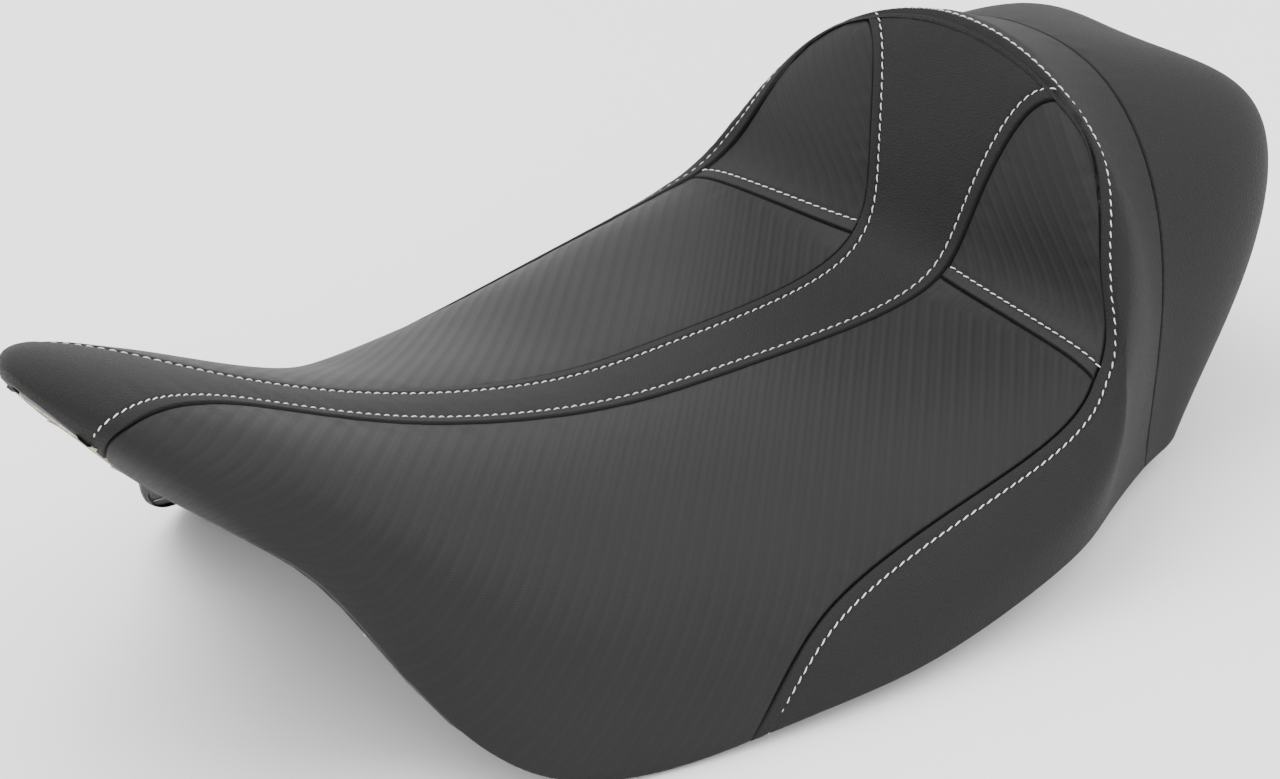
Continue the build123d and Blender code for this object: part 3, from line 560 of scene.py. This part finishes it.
def foam_block(name, first, last, rows, inset=9.0, floor=7.3, columns=44):
    """Rings of points: over the top from right to left, the skin less inset times its normal,
    then back along the tunnel's arch, at floor + rise * (1 - (x / half) ** 4). Both end
    rings close to a point."""
    u = np.linspace(first, last, rows)
    across, along = np.meshgrid(np.linspace(FOAM_GIRTH, -FOAM_GIRTH, columns), u)
    top = skin(along, across) - inset * outward(along, across)
    row = spline_through(ribs, u)
    rise = row[:, :2] - row[:, 2:4]
    rise = rise / np.linalg.norm(rise, axis=1, keepdims=True)
    half = top[:, 0, 0]
    x = half[:, None] * np.linspace(-1, 1, columns)[None, :]
    lift = np.maximum(spline_through(tunnel_rise[:, None], u), 0)
    level = floor + lift * (1 - np.clip(np.abs(x) / (row[:, 4:5] - PAN_GAP), 0, 1) ** 4)
    base = np.stack([x, row[:, 2:3] + level * rise[:, :1], row[:, 3:4] + level * rise[:, 1:]], -1)
    ring = np.concatenate([top, base], axis=1)
    ends = [np.broadcast_to(ring[i].mean(0), ring[i].shape)[None] for i in (0, -1)]
    ring = np.concatenate([ends[0], ring, ends[1]])
    count = ring.shape[1]
    number = np.arange(ring.shape[0] * count).reshape(ring.shape[0], count)
    after = np.roll(number, -1, axis=1)
    faces = np.stack([number[:-1], number[1:], after[1:], after[:-1]], -1).reshape(-1, 4)
    piece = make_object(name, ring.reshape(-1, 3), faces)
    weld(piece)
    return piece


def weld(piece):
    """Closes poles and seams: merges doubled points and lets every face point outwards."""
    shell = bmesh.new()
    shell.from_mesh(piece.data)
    bmesh.ops.remove_doubles(shell, verts=shell.verts, dist=1e-6)
    bmesh.ops.recalc_face_normals(shell, faces=shell.faces)
    shell.to_mesh(piece.data)
    shell.free()


foams = {"seat_foam": foam_block("seat_foam_block", 0.6, 7.55, 60),
         "backrest_foam": foam_block("backrest_foam_block", 7.65, 11.6, 40)}
# A bolster narrows to a point at the crown, so its doubled points are merged there.
for word in ("right", "left"):
    weld(panels["bolster_panel_cover_" + word])

# %% [markdown]
# ## Finishes
# Black vinyl is never flat black: it has a pebbled grain, a soft sheen, and small changes
# of gloss where hands and legs have rubbed. Effects that several finishes share are node
# groups; each finish sets its own scale. Everything reads Object coordinates or the panel's
# own UV map, so it stays put from any side.

# %% Node helpers
def start_group(name, inputs, outputs):
    tree = bpy.data.node_groups.new(name, "ShaderNodeTree")
    for label, kind, default in inputs:
        socket = tree.interface.new_socket(label, in_out="INPUT", socket_type="NodeSocket" + kind)
        if kind == "Float":
            socket.default_value = default
    for label, kind in outputs:
        tree.interface.new_socket(label, in_out="OUTPUT", socket_type="NodeSocket" + kind)
    return tree, tree.nodes.new("NodeGroupInput"), tree.nodes.new("NodeGroupOutput")


def math(tree, operation, first, second=None, third=None):
    node = tree.nodes.new("ShaderNodeMath")
    node.operation = operation
    for socket, value in zip(node.inputs, (first, second, third)):
        if isinstance(value, bpy.types.NodeSocket):
            tree.links.new(value, socket)
        elif value is not None:
            socket.default_value = value
    return node.outputs[0]


def blend_colours(tree, share, first, second):
    node = tree.nodes.new("ShaderNodeMix")
    node.data_type = "RGBA"
    tree.links.new(share, node.inputs["Factor"])
    node.inputs["A"].default_value = (*first, 1)
    node.inputs["B"].default_value = (*second, 1)
    return node.outputs["Result"]


# %% Pebble grain, for smooth vinyl, rubber and moulded plastic
grain, given, result = start_group(
    "pebble_grain", [("Vector", "Vector", None), ("Cells per metre", "Float", 900.0),
                     ("Patches per metre", "Float", 14.0)],
    [("Height", "Float"), ("Patches", "Float")])
cells = grain.nodes.new("ShaderNodeTexVoronoi")
cells.feature = "DISTANCE_TO_EDGE"
fine = grain.nodes.new("ShaderNodeTexNoise")
fine.inputs["Detail"].default_value = 2.0
broad = grain.nodes.new("ShaderNodeTexNoise")
broad.inputs["Detail"].default_value = 3.0
for node, socket in ((cells, "Cells per metre"), (fine, "Cells per metre"),
                     (broad, "Patches per metre")):
    grain.links.new(given.outputs["Vector"], node.inputs["Vector"])
    grain.links.new(given.outputs[socket], node.inputs["Scale"])
pebble = math(grain, "SMOOTH_MIN",
              math(grain, "MULTIPLY", cells.outputs["Distance"], 4.0), 0.8, 0.4)
grain.links.new(math(grain, "MULTIPLY_ADD", fine.outputs[0], 0.45, pebble),
                result.inputs["Height"])
grain.links.new(broad.outputs[0], result.inputs["Patches"])

# %% Woven twill embossed in vinyl
# Threads are 1.2 mm wide, and each passes over four and under four, one step further on
# each row, which gives the slanted ribs about 6.6 mm apart.
twill, given, result = start_group(
    "embossed_twill", [("Vector", "Vector", None), ("Threads per metre", "Float", 850.0)],
    [("Height", "Float"), ("Over", "Float")])
split = twill.nodes.new("ShaderNodeSeparateXYZ")
twill.links.new(given.outputs["Vector"], split.inputs[0])
across = math(twill, "MULTIPLY", split.outputs[0], given.outputs["Threads per metre"])
along = math(twill, "MULTIPLY", split.outputs[1], given.outputs["Threads per metre"])
column, row = math(twill, "FLOOR", across), math(twill, "FLOOR", along)
step = math(twill, "FLOORED_MODULO", math(twill, "ADD", column, row), 8.0)
over = math(twill, "LESS_THAN", step, 3.5)


def thread_height(across_thread, along_thread, index):
    """Round back of a thread times the arch that it makes from where it comes up to where it
    dives: |sin| across it, and sin over its four steps."""
    back = math(twill, "POWER", math(twill, "ABSOLUTE", math(
        twill, "SINE", math(twill, "MULTIPLY", across_thread, np.pi))), 0.5)
    way = math(twill, "FLOORED_MODULO", math(twill, "ADD", along_thread, index), 4.0)
    arch = math(twill, "SINE", math(twill, "MULTIPLY", way, np.pi / 4))
    return math(twill, "MULTIPLY_ADD", arch, 0.75, math(twill, "MULTIPLY", back, 0.25))


warp = thread_height(across, along, column)
weft = thread_height(along, across, row)
chosen = math(twill, "ADD", math(twill, "MULTIPLY", warp, over),
              math(twill, "MULTIPLY", math(twill, "MULTIPLY", weft, 0.55),
                   math(twill, "SUBTRACT", 1.0, over)))
twill.links.new(chosen, result.inputs["Height"])
twill.links.new(over, result.inputs["Over"])


# %% A finish from a few numbers
def finish(name, colour, deep, roughness, bump, depth, cells=900.0, patches=14.0, metallic=0.0,
           sheen=0.0, specular=0.5, weave=False, coat=0.0):
    """Principled surface. Colour and roughness drift over broad patches, and the grain or the
    weave gives the bump. The low parts of the grain and of the weave are also painted darker in
    the colour: painted shade in their hollows."""
    material = bpy.data.materials.new(name)
    material.use_nodes = True
    tree = material.node_tree
    surface = tree.nodes["Principled BSDF"]
    where = tree.nodes.new("ShaderNodeTexCoord")
    pebbles = tree.nodes.new("ShaderNodeGroup")
    pebbles.node_tree = grain
    pebbles.inputs["Cells per metre"].default_value = cells
    pebbles.inputs["Patches per metre"].default_value = patches
    tree.links.new(where.outputs["Object"], pebbles.inputs["Vector"])
    height = pebbles.outputs["Height"]
    if weave:
        cloth = tree.nodes.new("ShaderNodeGroup")
        cloth.node_tree = twill
        tree.links.new(where.outputs["UV"], cloth.inputs["Vector"])
        height = math(tree, "MULTIPLY_ADD", pebbles.outputs["Height"], 0.12,
                      cloth.outputs["Height"])
    # Colour: random tone from the broad patches, plus painted shade where the grain and the weave
    # are low.
    patches_and_painted_shade = math(tree, "MULTIPLY_ADD", pebbles.outputs["Patches"], 0.7,
                math(tree, "MULTIPLY", height, 0.3))
    tree.links.new(blend_colours(tree, patches_and_painted_shade, deep, colour), surface.inputs["Base Color"])
    tree.links.new(math(tree, "MULTIPLY_ADD", pebbles.outputs["Patches"], 0.16,
                        roughness - 0.08), surface.inputs["Roughness"])
    relief_node = tree.nodes.new("ShaderNodeBump")
    relief_node.inputs["Strength"].default_value = bump
    relief_node.inputs["Distance"].default_value = depth
    tree.links.new(height, relief_node.inputs["Height"])
    tree.links.new(relief_node.outputs["Normal"], surface.inputs["Normal"])
    surface.inputs["Metallic"].default_value = metallic
    surface.inputs["Sheen Weight"].default_value = sheen
    surface.inputs["Sheen Roughness"].default_value = 0.4
    surface.inputs["Specular IOR Level"].default_value = specular
    surface.inputs["Coat Weight"].default_value = coat
    return material


smooth_vinyl = finish("smooth_black_vinyl", (.0195, .0195, .0198), (.0115, .0115, .0117), .62,
                      .6, .0004, cells=720, specular=.11)
carbon_vinyl = finish("carbon_look_vinyl", (.0195, .0195, .0198), (.0115, .0115, .0117), .52,
                      .5, .0006, cells=1500, specular=.13, weave=True)
white_thread = finish("white_thread", (.78, .77, .74), (.60, .59, .56), .6, .4, .0001,
                      cells=3000, sheen=.3)
black_thread = finish("black_thread", (.02, .02, .02), (.01, .01, .01), .7, .4, .0001, cells=3000)
yellow_foam = finish("moulded_foam", (.62, .55, .38), (.46, .40, .26), .9, .6, .0008, cells=500)
pan_plastic = finish("black_moulded_plastic", (.030, .030, .031), (.018, .018, .019), .55,
                     .4, .0003, cells=1300, patches=9)
rubber = finish("black_rubber", (.028, .027, .026), (.016, .016, .015), .75, .4, .0002, cells=1600)
hem_tape = finish("hem_backing", (.070, .070, .072), (.040, .040, .042), .85, .5, .0003,
                  cells=1800)
zinc = finish("zinc_plated_steel", (.62, .62, .60), (.48, .49, .48), .36, .15, .00008,
              cells=2500, patches=60, metallic=1.0)
rivet_steel = finish("bright_rivet_steel", (.58, .57, .56), (.46, .46, .45), .32, .15, .00008,
                     cells=2500, patches=80, metallic=1.0)
painted_steel = finish("black_painted_steel", (.022, .022, .023), (.012, .012, .013), .36,
                       .2, .00012, cells=1400, patches=30, coat=.25)
nylon = finish("black_nylon", (.040, .040, .041), (.026, .026, .027), .5, .3, .0001, cells=2200)

# %% Dress every piece
CAD_FINISH = {"base_pan": pan_plastic, "bumpers": rubber, "bumper_screws": zinc,
              "front_tongue": painted_steel, "rear_tab": painted_steel, "tab_bushing": nylon,
              "tongue_rivets": rivet_steel, "tab_rivets": rivet_steel, "staples": zinc,
              "hem_right": hem_tape, "hem_left": hem_tape, "hem_front": hem_tape,
              "hem_rear": hem_tape}
for node, material in CAD_FINISH.items():
    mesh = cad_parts[node].data
    mesh.materials.clear()
    mesh.materials.append(material)


def dress(piece, material, slot_name, *nodes):
    piece.data.materials.append(material)
    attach(piece, "root")
    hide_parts(*nodes)


for name, piece in panels.items():
    woven = name.startswith(("seat", "bolster"))
    dress(piece, carbon_vinyl if woven else smooth_vinyl,
          "carbon_vinyl" if woven else "smooth_vinyl", name.replace("_cover", ""))
for node, piece in threads.items():
    black = node == "rear_seam_thread"
    dress(piece, black_thread if black else white_thread,
          "black_thread" if black else "white_thread", node)
for node, piece in foams.items():
    dress(piece, yellow_foam, "foam", node)

# %% [markdown]
# ## Studio
# A flat pale floor, one broad soft light over the seat, and two weaker ones at its tail and
# side show black vinyl by its soft highlights. The lens is long, about 94 mm, so lines stay
# calm.

# %% Floor, lights and camera
floor_mesh = bpy.data.meshes.new("floor")
# Half the floor's side, and its height just under the seat, in metres.
reach, low = 6.0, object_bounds()[0].z - 0.0005
floor_mesh.from_pydata([(-reach, -reach, low), (reach, -reach, low), (reach, reach, low),
                        (-reach, reach, low)], [], [(0, 1, 2, 3)])
floor = bpy.data.objects.new("floor", floor_mesh)
bpy.context.scene.collection.objects.link(floor)
pale = bpy.data.materials.new("pale_floor")
pale.use_nodes = True
pale.node_tree.nodes["Principled BSDF"].inputs["Base Color"].default_value = (.92, .92, .92, 1)
pale.node_tree.nodes["Principled BSDF"].inputs["Roughness"].default_value = 0.9
floor_mesh.materials.append(pale)

world = bpy.data.worlds.new("studio_light")
bpy.context.scene.world = world
world.use_nodes = True
world.node_tree.nodes["Background"].inputs["Color"].default_value = (1, 1, 1, 1)
world.node_tree.nodes["Background"].inputs["Strength"].default_value = 1.8


def soft_light(name, place, aim, size, power):
    lamp = bpy.data.lights.new(name, "AREA")
    lamp.shape, lamp.size, lamp.size_y, lamp.energy = "RECTANGLE", size[0], size[1], power
    holder = bpy.data.objects.new(name, lamp)
    bpy.context.scene.collection.objects.link(holder)
    holder.location = place
    holder.rotation_euler = (Vector(aim) - Vector(place)).to_track_quat("-Z", "Y").to_euler()


soft_light("top_light", (-0.6, -0.5, 2.0), (0, 0, 0.1), (1.6, 1.6), 45)
soft_light("tail_light", (0.6, 1.8, 1.1), (0, 0.1, 0.1), (1.2, 1.0), 16)
soft_light("side_light", (1.9, -0.7, 0.6), (0, 0, 0.05), (1.2, 0.8), 9)

azimuth, elevation, distance = np.radians(50.8), np.radians(28.16), 1.556
target = Vector((-0.0127, -0.0111, 0.0629))
away = Vector((np.sin(azimuth) * np.cos(elevation), -np.cos(azimuth) * np.cos(elevation),
               np.sin(elevation)))
lens = bpy.data.cameras.new("studio_camera")
lens.sensor_width, lens.lens, lens.clip_start = 36.0, 94.1, 0.05
camera = bpy.data.objects.new("studio_camera", lens)
bpy.context.scene.collection.objects.link(camera)
camera.location = target + distance * away
camera.rotation_euler = (-away).to_track_quat("-Z", "Y").to_euler()
bpy.context.scene.camera = camera
